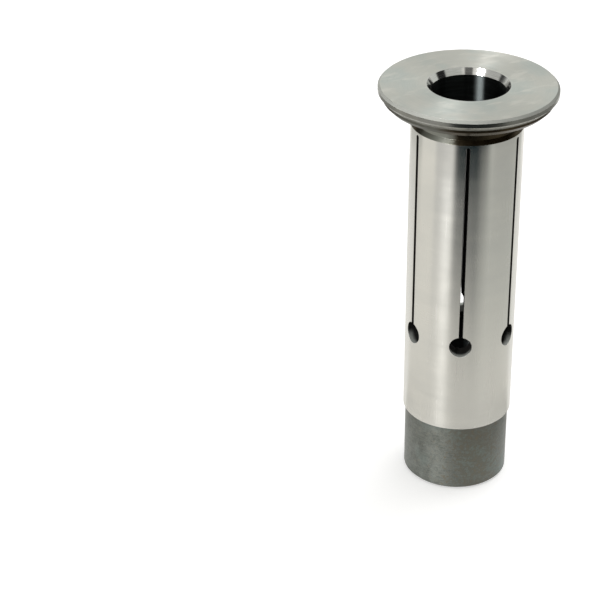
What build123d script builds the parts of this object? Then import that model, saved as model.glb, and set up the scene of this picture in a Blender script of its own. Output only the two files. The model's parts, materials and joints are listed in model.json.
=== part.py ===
from build123d import *
import math
import os

# A one-piece reducing sleeve for a hydraulic expansion chuck. It stands on its lower
# end with its axis along Z, and its origin is the centre of that end. Millimetres.

# Ground fits
tool_diameter = 8.0  # bore that grips the tool's shank
shank_diameter = 12.0  # ground outside that the chuck squeezes
insertion_length = 45.0  # from the lower end up to the collar's seat

# Unground lower end
end_length = 8.1  # height of the part left as turned and hardened
end_relief = 0.25  # how far it stays below the ground outside
end_chamfer = 0.3  # lead-in round its lower edge
bore_chamfer = 0.3  # bevel where the bore comes out of it

# Collar, from its top face down to its seat
collar_overhang = 3.5  # how far the rim stands out past the ground outside
edge_bevel = 0.25
rim_height = 0.45
upper_bevel = 0.5
land_height = 0.3
lower_bevel = 0.5

# Mouth of the bore in the top face
mouth_bevel = 0.4  # how much wider than the bore it is, on the radius
mouth_angle = 30.0  # between the bevel and the axis, in degrees

# Undercut between the seat and the ground outside
undercut_length = 2.3  # with its sloping shoulder
undercut_depth = 0.4
undercut_corner = 0.4  # round that the turning tool leaves under the seat

# Slits that let the wall close on the tool, each ending in a round relief hole
slit_count = 6
slit_width = 0.4
slit_land = 0.3  # ground surface left above each slit
relief_hole_diameter = 2.4
relief_hole_height = 18.6

# Radii
bore_radius = tool_diameter / 2
mouth_radius = bore_radius + mouth_bevel
shank_radius = shank_diameter / 2
end_radius = shank_radius - end_relief
undercut_radius = shank_radius - undercut_depth
rim_radius = shank_radius + collar_overhang
land_radius = rim_radius - upper_bevel
seat_radius = land_radius - lower_bevel

# Heights
shank_top = insertion_length - undercut_length
shoulder_top = shank_top + undercut_depth
land_low = insertion_length + lower_bevel
land_top = land_low + land_height
rim_low = land_top + upper_bevel
overall_length = rim_low + rim_height + edge_bevel
mouth_low = overall_length - mouth_bevel / math.tan(math.radians(mouth_angle))
slit_top = shank_top - slit_land

# The half section is turned off the slits' pattern, which puts the seam of the turned
# faces on whole wall, clear of every slit and of the middle between two
slit_pitch = 360 / slit_count
section_plane = Plane.XZ.rotated((0, 0, slit_pitch / 8))

os.makedirs("parts", exist_ok=True)

with BuildPart() as reducing_sleeve:
    # Half section, drawn up the outside, across the top face and down the bore
    with BuildSketch(section_plane):
        with BuildLine():
            Polyline(
                (bore_radius, 0),
                (end_radius, 0),
                (end_radius, end_length - end_relief),
                (shank_radius, end_length),
                (shank_radius, shank_top),
                (undercut_radius, shoulder_top),
                (undercut_radius, insertion_length),
                (seat_radius, insertion_length),
                (land_radius, land_low),
                (land_radius, land_top),
                (rim_radius, rim_low),
                (rim_radius, overall_length),
                (mouth_radius, overall_length),
                (bore_radius, mouth_low),
                close=True,
            )
        make_face()
    revolve(axis=Axis.Z)

    rings = reducing_sleeve.edges().filter_by(GeomType.CIRCLE)
    chamfer(rings.group_by(Axis.Z)[-1].sort_by(SortBy.RADIUS)[-1], edge_bevel)

    rings = reducing_sleeve.edges().filter_by(GeomType.CIRCLE)
    chamfer(rings.group_by(Axis.Z)[0].sort_by(SortBy.RADIUS)[-1], end_chamfer)

    rings = reducing_sleeve.edges().filter_by(GeomType.CIRCLE)
    chamfer(rings.group_by(Axis.Z)[0].sort_by(SortBy.RADIUS)[0], bore_chamfer)

    # The undercut's inner corner is the smallest ring at the height of the seat
    rings = reducing_sleeve.edges().filter_by(GeomType.CIRCLE)
    seat_rings = rings.filter_by_position(Axis.Z, insertion_length, insertion_length)
    fillet(seat_rings.sort_by(SortBy.RADIUS)[0], undercut_corner)

    # Keyhole slits, cut outward from the axis through the wall, the first at the front
    slit_planes = [
        Plane.XZ.rotated((0, 0, slit_pitch * step)) for step in range(slit_count)
    ]
    with BuildSketch(*slit_planes):
        with Locations((0, relief_hole_height)):
            Circle(relief_hole_diameter / 2)
        with Locations((0, (relief_hole_height + slit_top) / 2)):
            SlotOverall(slit_top - relief_hole_height, slit_width, rotation=90)
    extrude(amount=rim_radius, mode=Mode.SUBTRACT)

reducing_sleeve.part.label = "reducing_sleeve"
export_step(reducing_sleeve.part, "parts/reducing_sleeve.step")
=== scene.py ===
import json
import math

import bpy
from mathutils import Matrix, Vector


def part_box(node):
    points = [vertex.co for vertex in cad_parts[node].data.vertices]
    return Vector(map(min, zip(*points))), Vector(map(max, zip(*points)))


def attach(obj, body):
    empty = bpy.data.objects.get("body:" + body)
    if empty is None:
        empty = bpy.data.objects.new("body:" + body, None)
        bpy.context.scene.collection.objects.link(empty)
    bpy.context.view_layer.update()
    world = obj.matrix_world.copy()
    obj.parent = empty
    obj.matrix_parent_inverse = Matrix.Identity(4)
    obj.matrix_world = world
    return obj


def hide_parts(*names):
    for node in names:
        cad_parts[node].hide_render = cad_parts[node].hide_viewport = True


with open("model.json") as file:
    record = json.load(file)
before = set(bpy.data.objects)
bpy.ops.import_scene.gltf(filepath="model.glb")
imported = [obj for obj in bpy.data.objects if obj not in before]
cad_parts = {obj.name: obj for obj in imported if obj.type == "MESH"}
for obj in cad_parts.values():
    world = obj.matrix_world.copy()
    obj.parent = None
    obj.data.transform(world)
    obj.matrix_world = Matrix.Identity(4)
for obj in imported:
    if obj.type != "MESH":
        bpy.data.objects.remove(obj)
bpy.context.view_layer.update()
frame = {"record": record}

mm = 0.001
sleeveNode = "reducing_sleeve"
mounts = {mount["name"]: mount for mount in frame["record"]["mounts"]}
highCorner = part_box(sleeveNode)[1]

# main sizes, read from the frame, in millimetres
overall = highCorner[2] / mm
rimRadius = highCorner[0] / mm
boreRadius = mounts["tool_bore"]["dims"]["r_mm"]
shankRadius = mounts["chuck_fit"]["dims"]["r_mm"]
seatHeight = mounts["collar_seat"]["pos_m"][2] / mm


# The sleeve's form beyond those sizes, in millimetres

form = {
    "endLength": 8.1, "endRelief": 0.25, "endChamfer": 0.3, "boreChamfer": 0.3,
    "undercutLength": 2.3, "undercutDepth": 0.4, "undercutCorner": 0.4,
    "lowerBevel": 0.5, "landHeight": 0.3, "upperBevel": 0.5, "rimHeight": 0.45,
    "mouthBevel": 0.4, "mouthAngle": 30.0,
    "slitCount": 6, "slitWidth": 0.4, "slitLand": 0.3,
    "holeDiameter": 2.4, "holeHeight": 18.6,
    "edgeBreak": 0.04,      # round left on every turned edge
    "slitBreak": 0.03,      # round left along the slits and holes
    "nibRound": 0.045,      # round on the two corners where a slit meets its hole
    "seam": 0.1,            # plain strip kept between a slit sector and a turned edge
}


# Shader helpers

def plug(tree, socket, value):
    # links a wire, or writes a plain value on the socket itself
    if isinstance(value, Wire):
        tree.links.new(value.socket, socket)
    else:
        socket.default_value = value


class Wire:
    # one output socket; sums and products of wires add Math nodes
    def __init__(self, tree, socket):
        self.tree = tree
        self.socket = socket

    def calc(self, operation, *values):
        node = self.tree.nodes.new("ShaderNodeMath")
        node.operation = operation
        for socket, value in zip(node.inputs, values):
            plug(self.tree, socket, value)
        return Wire(self.tree, node.outputs[0])

    def __add__(self, other):
        return self.calc("ADD", self, other)

    def __radd__(self, other):
        return self.calc("ADD", other, self)

    def __sub__(self, other):
        return self.calc("SUBTRACT", self, other)

    def __rsub__(self, other):
        return self.calc("SUBTRACT", other, self)

    def __mul__(self, other):
        return self.calc("MULTIPLY", self, other)

    def __rmul__(self, other):
        return self.calc("MULTIPLY", other, self)

    def __truediv__(self, other):
        return self.calc("DIVIDE", self, other)

    def __rtruediv__(self, other):
        return self.calc("DIVIDE", other, self)

    def __pow__(self, other):
        return self.calc("POWER", self, other)

    def __abs__(self):
        return self.calc("ABSOLUTE", self)

    def larger(self, other):
        return self.calc("MAXIMUM", self, other)

    def smaller(self, other):
        return self.calc("MINIMUM", self, other)

    def wrapped(self, half):
        # the same place on a ring, between -half and half
        return self.calc("WRAP", self, half, -half)

    def angleOver(self, other):
        # the angle whose tangent is this over the other, in radians
        return self.calc("ARCTAN2", self, other)

    def swing(self, width):
        # a noise between 0 and 1, moved to lie round 0 and spread over this width
        return (self - 0.5) * width


class Paint:
    # a node tree being filled, for a material or for the world
    def __init__(self, owner):
        owner.use_nodes = True
        self.tree = owner.node_tree
        self.tree.nodes.clear()

    def node(self, kind, settings=None, inputs=None, output=0):
        made = self.tree.nodes.new(kind)
        for name, value in (settings or {}).items():
            setattr(made, name, value)
        for name, value in (inputs or {}).items():
            plug(self.tree, made.inputs[name], value)
        return Wire(self.tree, made.outputs[output]) if made.outputs else None

    def mixColour(self, factor, first, second):
        # sockets 6 and 7 are the node's two colours, and output 2 is their mix
        inputs = {0: factor, 6: first, 7: second}
        return self.node("ShaderNodeMix", {"data_type": "RGBA"}, inputs, output=2)

    def vector(self, x, y, z):
        return self.node("ShaderNodeCombineXYZ", None, {"X": x, "Y": y, "Z": z})

    def noise(self, place, scale=1.0, detail=2.0, rough=0.5):
        inputs = {"Vector": place, "Scale": scale, "Detail": detail, "Roughness": rough}
        return self.node("ShaderNodeTexNoise", None, inputs)

    def smooth(self, value, low, high, fromValue=0.0, toValue=1.0):
        inputs = {
            "Value": value, "From Min": low, "From Max": high,
            "To Min": fromValue, "To Max": toValue,
        }
        return self.node("ShaderNodeMapRange", {"interpolation_type": "SMOOTHSTEP"}, inputs)

    def surface(self, shader, kind="ShaderNodeOutputMaterial"):
        self.node(kind, None, {"Surface": shader})


def colour(red, green, blue):
    return (red, green, blue, 1.0)


class MetalPaint(Paint):
    # a material with the sleeve's own round coordinates, in millimetres
    def __init__(self, name):
        self.material = bpy.data.materials.new(name)
        super().__init__(self.material)
        spot = self.node("ShaderNodeTexCoord", output="Object")
        inputs = {"Vector": spot, "Scale": 1 / mm}
        self.place = self.node("ShaderNodeVectorMath", {"operation": "SCALE"}, inputs)
        split = self.node("ShaderNodeSeparateXYZ", None, {"Vector": self.place}).socket.node
        self.x, self.y, self.z = (Wire(self.tree, socket) for socket in split.outputs)
        self.radius = (self.x * self.x + self.y * self.y) ** 0.5

    def ringsAlongAxis(self, pitch, wander):
        # coordinates for marks that run round the axis, repeating along it
        return self.vector(self.x * wander, self.y * wander, self.z / pitch)

    def ringsOnFace(self, pitch, wander):
        # coordinates for marks that run round the axis, repeating outward
        across = (self.x / self.radius * wander, self.y / self.radius * wander)
        return self.vector(*across, self.radius / pitch)

    def linesAlongAxis(self, pitch, length):
        # coordinates for scratches on the ground outside that run along the axis
        x = self.x / self.radius * shankRadius / pitch
        y = self.y / self.radius * shankRadius / pitch
        return self.vector(x, y, self.z / length)

    def azimuth(self):
        # angle round the axis in radians, 0 on the side of the front slit
        return self.x.angleOver(0 - self.y)

    def towards(self, azimuth):
        # 1 on the side that faces this azimuth, falling to -1 on the opposite side
        side = math.radians(azimuth)
        return (self.x * math.sin(side) - self.y * math.cos(side)) / self.radius

    def slitDistance(self):
        # distance on the skin from the nearest keyhole slit
        side = abs(self.azimuth().wrapped(math.pi / form["slitCount"]) * self.radius)
        above = self.z - form["holeHeight"]
        fromHole = (side * side + above * above) ** 0.5 - form["holeDiameter"] / 2
        slitTop = seatHeight - form["undercutLength"] - form["slitLand"]
        fromSlit = (side - form["slitWidth"] / 2).larger(0 - above).larger(self.z - slitTop)
        return fromHole.smaller(fromSlit)

    def tone(self, s, mixed):
        # the finish's tint, lower or fuller by a mix of its noises
        return self.mixColour(self.smooth(mixed, *s["toneRange"]), s["tintLow"], s["tint"])

    def roughness(self, s, *noises):
        # the finish's roughness, spread by its noises
        total = noises[0]
        for noise in noises[1:]:
            total = total + noise
        return s["rough"] + (total - 0.5 * len(noises)) * s["roughSpread"]

    def overlay(self, base, tint, share, value, span):
        # lays a share of a tint over the base as the value crosses the span
        return self.mixColour(self.smooth(value, *span, 0.0, share), base, tint)

    def metal(self, s, base, rough, height):
        inputs = {"Height": height, "Strength": 1.0, "Distance": s["bumpDepth"] * mm}
        normal = self.node("ShaderNodeBump", None, inputs)
        self.surface(self.node("ShaderNodeBsdfPrincipled", None, {
            "Base Color": base,
            "Metallic": s["metallic"],
            "Roughness": rough,
            "Anisotropic": s["grain"],
            "Anisotropic Rotation": s["grainTurn"],
            "Normal": normal,
        }))
        return self.material


# Materials, one for each finish of the sleeve. Scales are per millimetre; pitches, widths,
# lengths and depths are in millimetres; a side is an azimuth in degrees. Shares weigh the
# noises or tints that are mixed, and a range is where a mix or a mark sets in.

groundFinish = {
    "tint": colour(0.76, 0.75, 0.705), "tintLow": colour(0.70, 0.695, 0.66),
    "markShare": 0.12, "bandShare": 0.48, "cloudShare": 0.4, "toneRange": (0.3, 0.7),
    "rough": 0.25, "roughSpread": 0.06,
    "markPitch": 0.09, "markWander": 0.14,
    "bandPitch": 1.4, "bandWander": 0.12,       # slow change of tone from the grinding wheel
    "cloudScale": 0.35,
    "scratchPitch": 0.16, "scratchLength": 9.0,     # marks of sliding in and out of a chuck
    "scratchRange": (0.64, 0.72), "scratchRough": 0.04, "scratchCut": 0.5,
    "wearTint": colour(0.9, 0.89, 0.86), "wearWidth": 0.14, "wear": 0.15,   # along the slits
    "endRange": (36.5, 41.5), "endWave": 2.0, "endPolish": 0.085,   # a finer upper end
    "bumpDepth": 0.0001,
    "metallic": 1.0, "grain": 0.9, "grainTurn": 0.25,
}


def makeGroundSteel():
    s = groundFinish
    paint = MetalPaint("groundSteel")
    rings = paint.ringsAlongAxis(s["markPitch"], s["markWander"])
    marks = paint.noise(rings, detail=3.0, rough=0.6)
    bands = paint.noise(paint.ringsAlongAxis(s["bandPitch"], s["bandWander"]))
    cloud = paint.noise(paint.place, s["cloudScale"])
    lines = paint.linesAlongAxis(s["scratchPitch"], s["scratchLength"])
    scratch = paint.smooth(paint.noise(lines, rough=0.7), *s["scratchRange"])
    mixed = marks * s["markShare"] + bands * s["bandShare"] + cloud * s["cloudShare"]
    fromSlit = paint.slitDistance() + cloud.swing(s["wearWidth"])
    worn = paint.smooth(fromSlit, 0.0, s["wearWidth"], s["wear"], 0.0)
    base = paint.mixColour(worn, paint.tone(s, mixed), s["wearTint"])
    height = paint.z + cloud.swing(s["endWave"])
    polish = paint.smooth(height, *s["endRange"], 0.0, s["endPolish"])
    rough = paint.roughness(s, bands, cloud, marks) + scratch * s["scratchRough"] - polish
    return paint.metal(s, base, rough, marks - scratch * s["scratchCut"])


turnedFinish = {
    "tint": colour(0.72, 0.72, 0.68), "tintLow": colour(0.535, 0.555, 0.52),
    "markShare": 0.3, "bandShare": 0.3, "cloudShare": 0.4, "toneRange": (0.3, 0.7),
    "warm": colour(0.735, 0.705, 0.655), "cool": colour(0.60, 0.64, 0.62),
    "stainScale": 0.24, "stainRange": (0.38, 0.62), "stainShare": 0.5,
    "rough": 0.42, "roughSpread": 0.16,
    "markPitch": 0.09, "markWander": 3.0,
    "bandPitch": 0.7, "bandWander": 1.1,
    "cloudScale": 0.45,
    "smudgeTint": colour(0.86, 0.84, 0.79), "smudge": 0.55, "smudgeRange": (0.52, 0.70),
    "smudgeLength": 4.6, "smudgeWidth": 1.9, "smudgeSlant": 0.6, "smudgeRough": 0.08,
    "bumpDepth": 0.0012,
    "metallic": 1.0, "grain": 0.75, "grainTurn": 0.25,
}


def makeTurnedFace():
    s = turnedFinish
    paint = MetalPaint("turnedFace")
    marks = paint.noise(paint.ringsOnFace(s["markPitch"], s["markWander"]), rough=0.6)
    bands = paint.noise(paint.ringsOnFace(s["bandPitch"], s["bandWander"]))
    cloud = paint.noise(paint.place, s["cloudScale"], detail=3.0)
    stain = paint.smooth(paint.noise(paint.place, s["stainScale"]), *s["stainRange"])
    stained = paint.mixColour(stain, s["cool"], s["warm"])
    mixed = marks * s["markShare"] + bands * s["bandShare"] + cloud * s["cloudShare"]
    base = paint.mixColour(s["stainShare"], paint.tone(s, mixed), stained)
    # fingers and other parts leave short rubbed strokes across the turning marks
    along = (paint.x + paint.y * s["smudgeSlant"]) / s["smudgeLength"]
    across = (paint.y - paint.x * s["smudgeSlant"]) / s["smudgeWidth"]
    strokes = paint.noise(paint.vector(along, across, 0), detail=3.0, rough=0.6)
    smudge = paint.smooth(strokes, *s["smudgeRange"], 0.0, s["smudge"])
    base = paint.mixColour(smudge, base, s["smudgeTint"])
    rough = paint.roughness(s, bands, cloud) + smudge * s["smudgeRough"]
    return paint.metal(s, base, rough, marks)


# The rim, the step bevel and the edge bevel are copies of one turned finish, each with its own
# tint: the rim's dark tint is painted shade for the dark band it mirrors, and the bevels'
# lighter tints are painted light
rimFinish = {
    "tint": colour(0.30, 0.30, 0.275), "tintLow": colour(0.21, 0.21, 0.19),
    "markShare": 0.5, "cloudShare": 0.5, "toneRange": (0.3, 0.7),
    "rough": 0.24, "roughSpread": 0.10,
    "markPitch": 0.08, "markWander": 0.3,
    "cloudScale": 0.6,
    "bumpDepth": 0.0006,
    "metallic": 1.0, "grain": 0.6, "grainTurn": 0.25,
}
# the bevel at the face's edge is tumbled, so it mirrors hardly anything
edgeFinish = dict(
    rimFinish, tint=colour(0.57, 0.575, 0.545), tintLow=colour(0.49, 0.495, 0.47),
    rough=0.88, roughSpread=0.12, markPitch=0.07, grain=0.3,
)
# the bevel under the rim is a cleaner cut, and mirrors the shank below it; its lighter tint is
# painted light
stepFinish = dict(
    rimFinish, tint=colour(0.48, 0.48, 0.44), tintLow=colour(0.36, 0.36, 0.33),
    rough=0.3, grain=0.4,
)


def makeTurnedRim(name, s):
    paint = MetalPaint(name)
    rings = paint.ringsAlongAxis(s["markPitch"], s["markWander"])
    marks = paint.noise(rings, detail=3.0, rough=0.6)
    cloud = paint.noise(paint.place, s["cloudScale"], detail=3.0)
    mixed = marks * s["markShare"] + cloud * s["cloudShare"]
    return paint.metal(s, paint.tone(s, mixed), paint.roughness(s, cloud), marks)


# The undercut and the collar's underside are a brown-black that is partly the skin of hardening
# and partly painted shade under the collar, with a lighter patch of painted light on the side
# toward the lamps
neckFinish = {
    "tint": colour(0.070, 0.054, 0.031), "tintLow": colour(0.036, 0.026, 0.014),
    "markShare": 0.4, "cloudShare": 0.6, "toneRange": (0.32, 0.68),
    "litPatch": colour(0.245, 0.25, 0.22), "litPatchCollar": colour(0.105, 0.105, 0.09),
    "litPatchSide": -38.0, "litPatchRange": (0.87, 0.98), "litPatchWave": 0.1, "litPatchRough": 0.15,
    "collarFrom": (8.3, 8.6),       # the radius where the collar's own bevels begin
    "rough": 0.28, "roughSpread": 0.14,
    "markPitch": 0.11, "markWander": 0.5,
    "cloudScale": 0.8,
    "bumpDepth": 0.0010,
    "metallic": 0.9, "grain": 0.5, "grainTurn": 0.25,
}


def makeDarkNeck():
    s = neckFinish
    paint = MetalPaint("darkNeck")
    rings = paint.ringsAlongAxis(s["markPitch"], s["markWander"])
    marks = paint.noise(rings, detail=3.0, rough=0.6)
    cloud = paint.noise(paint.place, s["cloudScale"], detail=3.0)
    mixed = marks * s["markShare"] + cloud * s["cloudShare"]
    # painted light: a lighter patch on the side that faces the lamps, dimmer on the collar's
    # bevels
    facing = paint.towards(s["litPatchSide"]) + cloud.swing(s["litPatchWave"])
    litPatchMask = paint.smooth(facing, *s["litPatchRange"])
    onCollar = paint.smooth(paint.radius, *s["collarFrom"])
    litPatch = paint.mixColour(onCollar, s["litPatch"], s["litPatchCollar"])
    base = paint.mixColour(litPatchMask, paint.tone(s, mixed), litPatch)
    rough = paint.roughness(s, cloud) + litPatchMask * s["litPatchRough"]
    return paint.metal(s, base, rough, marks)


dullFinish = {
    "tint": colour(0.230, 0.243, 0.222), "tintLow": colour(0.130, 0.138, 0.123),
    "gritShare": 0.25, "patchShare": 0.3, "speckShare": 0.3, "ringShare": 0.15,
    "toneRange": (0.38, 0.62),
    "cool": colour(0.180, 0.220, 0.203), "coolShare": 0.5, "coolRange": (0.5, 0.68),
    "brownStainAndShade": colour(0.122, 0.112, 0.085), "brownShare": 0.65, "brownRange": (0.8, 1.05),
    "brownShadeSide": 22.0, "brownPatches": 0.6, "brownSpecks": 1.1,     # browner and darker on one side: brown stain with painted shade
    "rust": colour(0.20, 0.15, 0.09), "rustShare": 0.35, "rustRange": (0.55, 0.7),
    "rough": 0.46, "roughSpread": 0.14,
    "gritScale": 7.0, "patchScale": 0.9, "speckScale": 2.6, "stainScale": 0.22,
    "ringPitch": 0.12, "ringWander": 0.7,
    "gritCut": 0.7, "ringCut": 0.3, "bumpDepth": 0.006,
    "metallic": 0.9, "grain": 0.6, "grainTurn": 0.25,
}


def makeDullSteel():
    s = dullFinish
    paint = MetalPaint("dullSteel")
    grit = paint.noise(paint.place, s["gritScale"], detail=4.0, rough=0.65)
    patches = paint.noise(paint.place, s["patchScale"], detail=4.0, rough=0.6)
    rings = paint.noise(paint.ringsAlongAxis(s["ringPitch"], s["ringWander"]))
    specks = paint.noise(paint.place, s["speckScale"], detail=3.0, rough=0.7)
    stain = paint.noise(paint.place, s["stainScale"])
    mixed = grit * s["gritShare"] + patches * s["patchShare"]
    mixed = mixed + specks * s["speckShare"] + rings * s["ringShare"]
    base = paint.overlay(paint.tone(s, mixed), s["cool"], s["coolShare"], stain, s["coolRange"])
    # the side at this azimuth is overlaid browner and darker: brown stain with painted shade
    facing = paint.towards(s["brownShadeSide"]) + patches.swing(s["brownPatches"])
    facing = facing + specks.swing(s["brownSpecks"])
    base = paint.overlay(base, s["brownStainAndShade"], s["brownShare"], facing, s["brownRange"])
    base = paint.overlay(base, s["rust"], s["rustShare"], specks, s["rustRange"])
    height = grit * s["gritCut"] + rings * s["ringCut"]
    return paint.metal(s, base, paint.roughness(s, patches), height)


mouthFinish = {
    "tint": colour(0.76, 0.76, 0.74), "tintLow": colour(0.6, 0.6, 0.58),
    "toneRange": (0.3, 0.7),
    "rough": 0.12, "roughSpread": 0.06,
    "markPitch": 0.04, "markWander": 0.8,
    "bumpDepth": 0.0002,
    "metallic": 1.0, "grain": 0.5, "grainTurn": 0.25,
}


def makePolishedMouth():
    s = mouthFinish
    paint = MetalPaint("polishedMouth")
    marks = paint.noise(paint.ringsAlongAxis(s["markPitch"], s["markWander"]))
    return paint.metal(s, paint.tone(s, marks), paint.roughness(s, marks), marks)


boreFinish = {
    "tint": colour(0.033, 0.037, 0.037), "tintLow": colour(0.022, 0.024, 0.024),    # near-black
    "toneRange": (0.3, 0.7),
    "streakHighlight": colour(0.097, 0.109, 0.109), "streakHighlightSide": 161.8,       # painted highlight: a lighter stripe where the lamp's streak falls
    "streakHighlightRange": (0.984, 0.996), "streakHighlightWave": 0.004,
    "rough": 0.35, "roughSpread": 0.06,
    "markPitch": 0.25, "markWander": 0.4,
    "bumpDepth": 0.0010,
    "metallic": 1.0, "grain": 1.0, "grainTurn": 0.25,
}


def makeGroundBore():
    s = boreFinish
    paint = MetalPaint("groundBore")
    rings = paint.ringsAlongAxis(s["markPitch"], s["markWander"])
    marks = paint.noise(rings, detail=3.0)
    # painted highlight: a narrow lighter stripe on the bore's far wall, where the lamp's streak
    # is seen
    facing = paint.towards(s["streakHighlightSide"]) + marks.swing(s["streakHighlightWave"])
    base = paint.overlay(paint.tone(s, marks), s["streakHighlight"], 1.0, facing, s["streakHighlightRange"])
    return paint.metal(s, base, paint.roughness(s, marks), marks)


cutFinish = {
    "tint": colour(0.060, 0.056, 0.050), "tintLow": colour(0.025, 0.024, 0.022),
    "toneRange": (0.3, 0.7),
    "rough": 0.55, "roughSpread": 0.15,
    "gritScale": 14.0, "bumpDepth": 0.002,
    "metallic": 0.9, "grain": 0.0, "grainTurn": 0.0,
}
# the relief holes carry a painted highlight on their lower lip
drilledFinish = dict(
    cutFinish, tint=colour(0.055, 0.054, 0.050), tintLow=colour(0.032, 0.031, 0.029),
    lipHighlightTint=colour(0.58, 0.60, 0.57), lipDepth=(0.24, 0.8), lipDrop=(0.1, 1.0),
    lipWave=0.4, lipDull=0.5,
)


def makeCutWall(name, s):
    paint = MetalPaint(name)
    grit = paint.noise(paint.place, s["gritScale"], detail=3.0, rough=0.6)
    base = paint.tone(s, grit)
    # painted highlight: a light, less metallic band on the lower lip of each relief hole, next
    # to the outer skin
    if "lipHighlightTint" in s:
        inside = shankRadius - paint.radius + grit.swing(s["lipWave"])
        lipHighlight = paint.smooth(inside, *s["lipDepth"], 1.0, 0.0)
        lipHighlight = lipHighlight * paint.smooth(form["holeHeight"] - paint.z, *s["lipDrop"])
        base = paint.mixColour(lipHighlight, base, s["lipHighlightTint"])
        s = dict(s, metallic=s["metallic"] - lipHighlight * s["lipDull"])
    return paint.metal(s, base, paint.roughness(s, grit), grit)


# Mesh of the sleeve: a turned profile, and six sectors that each hold one keyhole slit

resolution = {
    "across": 24, "holeArc": 14, "slitSide": 24, "corner": 3, "breakSteps": 3,
    "outerLoops": 16, "wallLoops": 5, "boreLoops": 14,
    "roundSteps": 4, "filletSteps": 10, "filletFrom": 0.2,      # a larger round is a fillet
    "weld": 0.0001,         # vertices that lie as near as this are one
}


def polar(radius, angle, height):
    # angle 0 is the front slit, and it grows anticlockwise seen from above
    return Vector((radius * math.sin(angle), -radius * math.cos(angle), height))


def addObject(name, data):
    thing = bpy.data.objects.new(name, data)
    bpy.context.scene.collection.objects.link(thing)
    return thing


def roundedProfile(corners):
    # corners are (radius, height, round, finish after it); gives points with their normals
    points = []
    for index, (radius, height, cornerRound, finish) in enumerate(corners):
        here = Vector((radius, height))
        before = (here - Vector(corners[index - 1][:2])).normalized() if index else None
        after = None
        if index + 1 < len(corners):
            after = (Vector(corners[index + 1][:2]) - here).normalized()
        if before is None or after is None or cornerRound == 0:
            way = after or before
            points.append((here, Vector((way.y, -way.x)), finish))
            continue
        turn = before.angle_signed(after)        # clockwise is positive in Blender
        reach = cornerRound * math.tan(abs(turn) / 2)
        startNormal = Vector((before.y, -before.x))
        side = 1.0 if turn < 0 else -1.0
        centre = here - before * reach - startNormal * cornerRound * side
        isFillet = cornerRound > resolution["filletFrom"]
        steps = resolution["filletSteps" if isFillet else "roundSteps"]
        for step in range(steps + 1):
            normal = startNormal.copy()
            normal.rotate(Matrix.Rotation(-turn * step / steps, 2))
            spot = centre + normal * cornerRound * side
            points.append((spot, normal, None if step else finish))
    return points


class Skin:
    # gathers vertices, welding those at one place, and the faces between them
    def __init__(self):
        self.spots = {}
        self.points = []
        self.normals = []
        self.faces = []
        self.finishes = []

    def put(self, point, normal):
        key = tuple(round(value / resolution["weld"]) for value in point)
        if key not in self.spots:
            self.spots[key] = len(self.points)
            self.points.append(point * mm)
            self.normals.append(normal.normalized())
        return self.spots[key]

    def band(self, first, second, finish):
        # quads between two closed loops of indices; finish is one number or a list round them
        count = len(first)
        for index in range(count):
            after = (index + 1) % count
            face = [first[index], first[after], second[after], second[index]]
            if len(set(face)) < 4:
                continue
            a, b, c = (self.points[spot] for spot in face[:3])
            across = (b - a).cross(c - b)
            if across.dot(sum((self.normals[spot] for spot in face), Vector())) < 0:
                face.reverse()
            self.faces.append(face)
            self.finishes.append(finish[index] if isinstance(finish, list) else finish)


def turnedPart(skin, corners, finishNames):
    # starts half a sector round, so its vertices meet those on the sectors' borders
    steps = resolution["across"] * form["slitCount"]
    loops = []
    for spot, normal, finish in roundedProfile(corners):
        loop = []
        for step in range(steps):
            angle = 2 * math.pi * (step + resolution["across"] / 2) / steps
            outward = polar(normal.x, angle, normal.y)
            loop.append(skin.put(polar(spot.x, angle, spot.y), outward))
        loops.append((loop, finish))
    current = corners[0][3]
    for (first, finish), (second, _) in zip(loops, loops[1:]):
        current = finish or current
        skin.band(first, second, finishNames.index(current))


def keyholeOutline(slitTop):
    # closed outline as (across, height, normal into the metal), anticlockwise from lower
    # left, and the number of steps up each of its sides
    half = form["slitWidth"] / 2
    hole = form["holeDiameter"] / 2
    low = form["holeHeight"]
    nib = form["nibRound"]
    nibAcross = half + nib
    nibHigh = math.sqrt((hole + nib) ** 2 - nibAcross ** 2)
    meet = math.atan2(nibHigh, nibAcross)
    quarter = math.pi / 4
    bottom, top = low + nibHigh, slitTop - half
    outline = []

    def arc(centreAcross, centreHigh, radius, start, end, steps, inward=1.0):
        for step in range(steps):
            angle = start + (end - start) * step / steps
            normal = Vector((math.cos(angle), math.sin(angle)))
            spot = Vector((centreAcross, centreHigh)) + normal * radius * inward
            outline.append((spot.x, spot.y, normal))

    arc(0, low, hole, -3 * quarter, -quarter, resolution["across"])
    rightStart = len(outline)
    arc(0, low, hole, -quarter, meet, resolution["holeArc"])
    arc(nibAcross, bottom, nib, meet, 0, resolution["corner"], -1.0)
    for step in range(resolution["slitSide"]):
        height = bottom + (top - bottom) * step / resolution["slitSide"]
        outline.append((half, height, Vector((1, 0))))
    rightEnd = len(outline)
    arc(0, top, half, 0, math.pi, resolution["across"])
    outline.append((-half, top, Vector((-1, 0))))
    for across, height, normal in outline[rightStart + 1:rightEnd][::-1]:
        outline.append((-across, height, Vector((-normal.x, normal.y))))
    return outline, rightEnd - rightStart


def frameLoop(low, high, sideSteps):
    # the sector's own border as (angle, height), in step with the outline
    edge = math.pi / form["slitCount"]
    across = resolution["across"]
    border = [(-edge + 2 * edge * step / across, low) for step in range(across)]
    border += [(edge, low + (high - low) * step / sideSteps) for step in range(sideSteps)]
    border += [(edge - 2 * edge * step / across, high) for step in range(across)]
    border += [(-edge, high - (high - low) * step / sideSteps) for step in range(sideSteps)]
    return border


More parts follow.
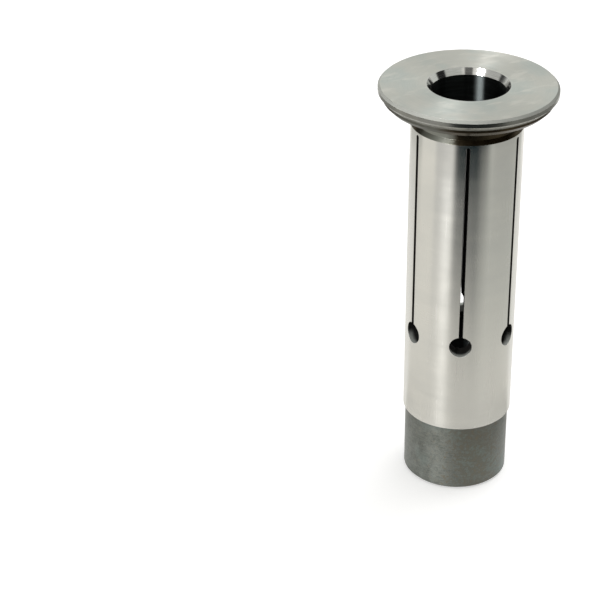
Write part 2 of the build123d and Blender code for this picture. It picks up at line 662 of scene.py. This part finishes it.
def slitSector(skin, turn, heights, finishNames):
    outline, sideSteps = keyholeOutline(heights["slitTop"])
    soft = form["slitBreak"]

    def loopAt(radius, offset, radialPart, sidePart):
        # the outline at a radius, moved into the metal by the offset
        loop = []
        for across, height, normal in outline:
            angle = turn + math.asin((across + normal.x * offset) / radius)
            outward = polar(1, angle, 0) * radialPart
            sideways = polar(1, turn + math.pi / 2, 0) * normal.x + Vector((0, 0, normal.y))
            place = polar(radius, angle, height + normal.y * offset)
            loop.append(skin.put(place, outward - sideways * sidePart))
        return loop

    def skinLoops(radius, low, high, count, side):
        # loops over the curved skin, from the sector's border in to the slit's edge
        border = frameLoop(low, high, sideSteps)
        loops = []
        for step in range(count):
            blend = step / count
            loop = []
            for (angle, height), (across, holeHigh, normal) in zip(border, outline):
                near = math.asin((across + normal.x * soft) / radius)
                nearHigh = holeHigh + normal.y * soft
                place = polar(radius, turn + angle + (near - angle) * blend,
                              height + (nearHigh - height) * blend)
                loop.append(skin.put(place, Vector((place.x, place.y, 0)) * side))
            loops.append(loop)
        return loops

    def breakLoops(radius, side):
        # the small round from the skin into the wall
        loops = []
        for step in range(resolution["breakSteps"] + 1):
            lean = math.pi / 2 * step / resolution["breakSteps"]
            depth = radius - side * soft * (1 - math.cos(lean))
            offset = soft * (1 - math.sin(lean))
            loops.append(loopAt(depth, offset, side * math.cos(lean), math.sin(lean)))
        return loops

    outerBreak = breakLoops(shankRadius, 1)
    innerBreak = breakLoops(boreRadius, -1)
    outer = skinLoops(shankRadius, heights["skinLow"], heights["skinHigh"],
                      resolution["outerLoops"], 1)
    inner = skinLoops(boreRadius, heights["boreLow"], heights["boreHigh"],
                      resolution["boreLoops"], -1)
    outer.append(outerBreak[0])
    inner.append(innerBreak[0])
    wallDepth = boreRadius - shankRadius + 2 * soft
    wall = []
    for step in range(1, resolution["wallLoops"]):
        depth = shankRadius - soft + wallDepth * step / resolution["wallLoops"]
        wall.append(loopAt(depth, 0, 0, 1))
    through = outerBreak + wall + innerBreak[::-1]
    holeTop = form["holeHeight"] + form["holeDiameter"] / 2
    wallFinish = [
        finishNames.index("drilled" if height < holeTop else "cut")
        for across, height, normal in outline
    ]
    ground, bore = finishNames.index("ground"), finishNames.index("bore")
    for loops, finish in ((outer, ground), (through, wallFinish), (inner, bore)):
        for first, second in zip(loops, loops[1:]):
            skin.band(first, second, finish)


def buildSleeve(finishes):
    f = form
    names = list(finishes)
    endRadius = shankRadius - f["endRelief"]
    undercutRadius = shankRadius - f["undercutDepth"]
    landRadius = rimRadius - f["upperBevel"]
    seatRadius = landRadius - f["lowerBevel"]
    mouthRadius = boreRadius + f["mouthBevel"]
    shankTop = seatHeight - f["undercutLength"]
    landLow = seatHeight + f["lowerBevel"]
    landTop = landLow + f["landHeight"]
    rimLow = landTop + f["upperBevel"]
    rimTop = rimLow + f["rimHeight"]
    edgeBevel = overall - rimTop
    mouthLow = overall - f["mouthBevel"] / math.tan(math.radians(f["mouthAngle"]))
    soft = f["edgeBreak"]
    heights = {
        "slitTop": shankTop - f["slitLand"],
        "skinLow": f["endLength"] + f["seam"], "skinHigh": shankTop - f["seam"],
        "boreLow": f["boreChamfer"] + f["seam"], "boreHigh": mouthLow - f["seam"],
    }
    upper = [
        (shankRadius, heights["skinHigh"], 0, "ground"),
        (shankRadius, shankTop, soft, "neck"),
        (undercutRadius, shankTop + f["undercutDepth"], soft, "neck"),
        (undercutRadius, seatHeight, f["undercutCorner"] - soft, "neck"),
        (seatRadius, seatHeight, soft, "neck"),
        (landRadius, landLow, soft, "neck"),
        (landRadius, landTop, soft, "step"),
        (rimRadius, rimLow, soft, "rim"),
        (rimRadius, rimTop, soft, "edge"),
        (rimRadius - edgeBevel, overall, soft, "face"),
        (mouthRadius, overall, soft, "mouth"),
        (boreRadius, mouthLow, soft, "bore"),
        (boreRadius, heights["boreHigh"], 0, "bore"),
    ]
    lower = [
        (boreRadius, heights["boreLow"], 0, "bore"),
        (boreRadius, f["boreChamfer"], soft, "dull"),
        (boreRadius + f["boreChamfer"], 0, soft, "dull"),
        (endRadius - f["endChamfer"], 0, soft, "dull"),
        (endRadius, f["endChamfer"], soft, "dull"),
        (endRadius, f["endLength"] - f["endRelief"], soft, "dull"),
        (shankRadius, f["endLength"], soft, "ground"),
        (shankRadius, heights["skinLow"], 0, "ground"),
    ]
    skin = Skin()
    turnedPart(skin, upper, names)
    turnedPart(skin, lower, names)
    for slit in range(f["slitCount"]):
        slitSector(skin, 2 * math.pi * slit / f["slitCount"], heights, names)

    mesh = bpy.data.meshes.new("sleeveBody")
    mesh.from_pydata(skin.points, [], skin.faces)
    for material in finishes.values():
        mesh.materials.append(material)
    mesh.polygons.foreach_set("material_index", skin.finishes)
    mesh.polygons.foreach_set("use_smooth", [True] * len(skin.faces))
    mesh.normals_split_custom_set_from_vertices(skin.normals)
    mesh.update()
    sleeve = addObject("sleeveBody", mesh)
    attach(sleeve, "root")
    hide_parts(sleeveNode)
    print("sleeve:", len(skin.points), "points,", len(skin.faces), "faces")


# The studio: floor, world, lamps, light tent and camera, none of them part of the sleeve.
# Lengths are in millimetres, angles in degrees, and azimuth 0 is the side of the front slit.

studio = {
    "floorSize": 1600.0, "floorDrop": 0.02, "floorTint": colour(0.8, 0.8, 0.8),
    "floorGlow": 0.42,
    "skyTint": colour(1.0, 0.99, 0.97), "skyLevel": 0.72,
    "lampAim": 0.6,         # how far up the sleeve the lamps point, as a share of it
}
camera = {
    "lens": 128.19, "sensor": 36.0, "clipStart": 5.0,
    "azimuth": -1.95, "away": 202.104, "height": 135.215,
    "panLeft": 5.168, "pitchDown": 29.382, "roll": -0.282,
}
keyLamp = {
    "azimuth": 140.0, "rise": 58.0, "distance": 450.0,
    "width": 320.0, "height": 320.0, "power": 0.7,
    "mirrored": False, "lightsFloor": True,
}
# a small bright lamp that draws the streak in the bore, over a painted highlight there, and the
# patch on its mouth
streakLamp = {
    "azimuth": -37.0, "rise": 34.0, "distance": 450.0,
    "width": 115.0, "height": 90.0, "power": 1.85,
    "mirrored": True, "lightsFloor": False,
}
# What polished metal mirrors. A panel reaches as far to each side of its azimuth and fades
# beyond; low and high are the angles of its edges above the middle of the sleeve, and blend
# is how soft they are; later panels cover earlier ones.
tent = {
    "radius": 600.0, "wallFoot": 500.0, "gap": 14.0, "lift": 0.05, "middle": 25.0,
    "segments": 96, "bows": 16,
    "base": colour(0.85, 0.835, 0.79),
    "panels": {
        "footShade": dict(azimuth=0, reach=180, fade=10, low=-99, high=-47, blend=6,
                          tint=colour(0.69, 0.677, 0.64)),
        "rightBoard": dict(azimuth=70, reach=44, fade=14, low=-33, high=70, blend=7,
                           tint=colour(0.555, 0.565, 0.535)),
        "footRight": dict(azimuth=62, reach=52, fade=35, low=-99, high=-54, blend=5,
                          tint=colour(0.46, 0.455, 0.43)),
        "backLow": dict(azimuth=180, reach=54, fade=9, low=-60, high=8, blend=8,
                        tint=colour(0.97, 0.96, 0.93)),
        "backBoard": dict(azimuth=180, reach=60, fade=50, low=8, high=90, blend=14,
                          tint=colour(0.72, 0.74, 0.71)),
        "topCap": dict(azimuth=0, reach=75, fade=30, low=70, high=120, blend=4,
                       tint=colour(0.08, 0.08, 0.08)),
        "leftSky": dict(azimuth=-80, reach=36, fade=10, low=14, high=60, blend=6,
                        tint=colour(0.52, 0.52, 0.50)),
        "frontFlag": dict(azimuth=1.5, reach=15.5, fade=23, low=-25, high=12, blend=11,
                          tint=colour(0.002, 0.015, 0.026)),
        "topFlag": dict(azimuth=12, reach=22, fade=20, low=-16.2, high=12, blend=2,
                        tint=colour(0.006, 0.008, 0.010)),
        "shankFlag": dict(azimuth=4, reach=13, fade=12, low=-21, high=-14, blend=3,
                          tint=colour(0.002, 0.018, 0.024)),
        "rightRail": dict(azimuth=95, reach=35, fade=15, low=-15.8, high=8, blend=1,
                          tint=colour(0.42, 0.42, 0.40)),
        "leftRail": dict(azimuth=-125, reach=20, fade=12, low=-15.8, high=8, blend=1,
                         tint=colour(0.50, 0.50, 0.47)),
        "frontBelt": dict(azimuth=0, reach=100, fade=30, low=47, high=68, blend=5,
                          tint=colour(0.66, 0.67, 0.65)),
        "lensFlag": dict(azimuth=0, reach=10, fade=5, low=8, high=42, blend=6,
                         tint=colour(0.002, 0.002, 0.004)),
        "keyShade": dict(azimuth=-44, reach=13, fade=12, low=-25, high=12, blend=5,
                         tint=colour(0.66, 0.655, 0.64)),
        "keyPane": dict(azimuth=-39, reach=7, fade=6, low=20, high=46, blend=5,
                        tint=colour(1.0, 0.99, 0.98)),
        "rightSlip": dict(azimuth=87, reach=11, fade=6, low=12, high=60, blend=6,
                          tint=colour(0.02, 0.02, 0.02)),
        "leftSlip": dict(azimuth=-114, reach=10, fade=8, low=12, high=60, blend=6,
                         tint=colour(0.05, 0.05, 0.05)),
    },
}


def around(azimuth, distance, height=0.0):
    # a place in metres, by degrees round the axis from the side of the front slit
    return polar(distance, math.radians(azimuth), height) * mm


def seenDirectly(paint):
    # 1 for what the camera sees, straight or in metal, 0 for light that lands on the sleeve
    straight, glossy, clear = (
        paint.node("ShaderNodeLightPath", output=name)
        for name in ("Is Camera Ray", "Is Glossy Ray", "Is Transmission Ray")
    )
    return (straight + glossy).larger(clear)


def makeFloor():
    half = studio["floorSize"] * mm / 2
    corners = [(-half, -half, 0), (half, -half, 0), (half, half, 0), (-half, half, 0)]
    mesh = bpy.data.meshes.new("floor")
    mesh.from_pydata(corners, [], [(0, 1, 2, 3)])
    floor = addObject("floor", mesh)
    floor.location.z = -studio["floorDrop"] * mm
    material = bpy.data.materials.new("paleFloor")
    paint = Paint(material)
    matt = paint.node("ShaderNodeBsdfDiffuse", None, {"Color": studio["floorTint"]})
    strength = seenDirectly(paint) * studio["floorGlow"]
    glow = paint.node("ShaderNodeEmission", None, {"Strength": strength})
    paint.surface(paint.node("ShaderNodeAddShader", None, {0: matt, 1: glow}))
    mesh.materials.append(material)


def makeWorld():
    world = bpy.data.worlds.new("studio")
    bpy.context.scene.world = world
    paint = Paint(world)
    inputs = {"Color": studio["skyTint"], "Strength": studio["skyLevel"]}
    soft = paint.node("ShaderNodeBackground", None, inputs)
    white = paint.node("ShaderNodeBackground", None, {"Color": colour(1, 1, 1)})
    both = paint.node("ShaderNodeMixShader", None, {0: seenDirectly(paint), 1: soft, 2: white})
    paint.surface(both, kind="ShaderNodeOutputWorld")


def makeLamp(name, s):
    rise = math.radians(s["rise"])
    lamp = bpy.data.lights.new(name, "AREA")
    lamp.shape = "RECTANGLE"
    lamp.size = s["width"] * mm
    lamp.size_y = s["height"] * mm
    lamp.energy = s["power"]
    holder = addObject(name, lamp)
    away, high = s["distance"] * math.cos(rise), s["distance"] * math.sin(rise)
    holder.location = around(s["azimuth"], away, high)
    way = Vector((0, 0, overall * mm * studio["lampAim"])) - holder.location
    holder.rotation_euler = way.to_track_quat("-Z", "Y").to_euler()
    holder.visible_glossy = s["mirrored"]
    holder.visible_diffuse = s["lightsFloor"]


def makeTent():
    # a wide floor with a dome over it, which only mirror-like rays see
    t = tent
    rings = [(t["gap"], t["lift"]), (t["wallFoot"], t["lift"])]
    for step in range(1, t["bows"]):
        lean = math.radians(90 * step / t["bows"])
        rings.append((t["radius"] * math.cos(lean), t["radius"] * math.sin(lean)))
    segments = t["segments"]
    points = [
        around(360 * turn / segments, radius, height)
        for radius, height in rings for turn in range(segments)
    ]
    faces = []
    for start in range(0, len(points) - segments, segments):
        for turn in range(segments):
            here, after = start + turn, start + (turn + 1) % segments
            faces.append((here, after, after + segments, here + segments))
    mesh = bpy.data.meshes.new("lightTent")
    mesh.from_pydata(points, [], faces)
    thing = addObject("lightTent", mesh)

    paint = MetalPaint("tentLight")
    azimuth = paint.azimuth() * math.degrees(1)
    rise = (paint.z - t["middle"]).angleOver(paint.radius) * math.degrees(1)
    shade = t["base"]
    for panel in t["panels"].values():
        away = abs((azimuth - panel["azimuth"]).wrapped(180.0))
        across = paint.smooth(away, panel["reach"], panel["reach"] + panel["fade"], 1.0, 0.0)
        low, high, blend = panel["low"], panel["high"], panel["blend"]
        above = paint.smooth(rise, low - blend, low + blend)
        below = paint.smooth(rise, high - blend, high + blend, 1.0, 0.0)
        shade = paint.mixColour(across * above * below, shade, panel["tint"])
    paint.surface(paint.node("ShaderNodeEmission", None, {"Color": shade}))
    mesh.materials.append(paint.material)
    for ray in ("camera", "diffuse", "shadow", "transmission", "volume_scatter"):
        setattr(thing, "visible_" + ray, False)


def makeCamera():
    data = bpy.data.cameras.new("camera")
    data.lens = camera["lens"]
    data.sensor_width = camera["sensor"]
    data.clip_start = camera["clipStart"] * mm
    holder = addObject("camera", data)
    turn = Matrix.Rotation(math.radians(camera["azimuth"] + camera["panLeft"]), 4, "Z")
    tip = Matrix.Rotation(math.radians(90 - camera["pitchDown"]), 4, "X")
    roll = Matrix.Rotation(math.radians(camera["roll"]), 4, "Z")
    place = around(camera["azimuth"], camera["away"], camera["height"])
    holder.matrix_world = Matrix.Translation(place) @ turn @ tip @ roll
    bpy.context.scene.camera = holder


print("finishes")
finishes = {
    "ground": makeGroundSteel(),
    "face": makeTurnedFace(),
    "edge": makeTurnedRim("tumbledEdge", edgeFinish),
    "rim": makeTurnedRim("turnedRim", rimFinish),
    "step": makeTurnedRim("turnedStep", stepFinish),
    "neck": makeDarkNeck(),
    "dull": makeDullSteel(),
    "mouth": makePolishedMouth(),
    "bore": makeGroundBore(),
    "cut": makeCutWall("cutWall", cutFinish),
    "drilled": makeCutWall("drilledWall", drilledFinish),
}
buildSleeve(finishes)

print("studio")
bpy.context.scene.view_settings.view_transform = "Standard"
makeFloor()
makeWorld()
makeLamp("keyLamp", keyLamp)
makeLamp("streakLamp", streakLamp)
makeTent()
makeCamera()
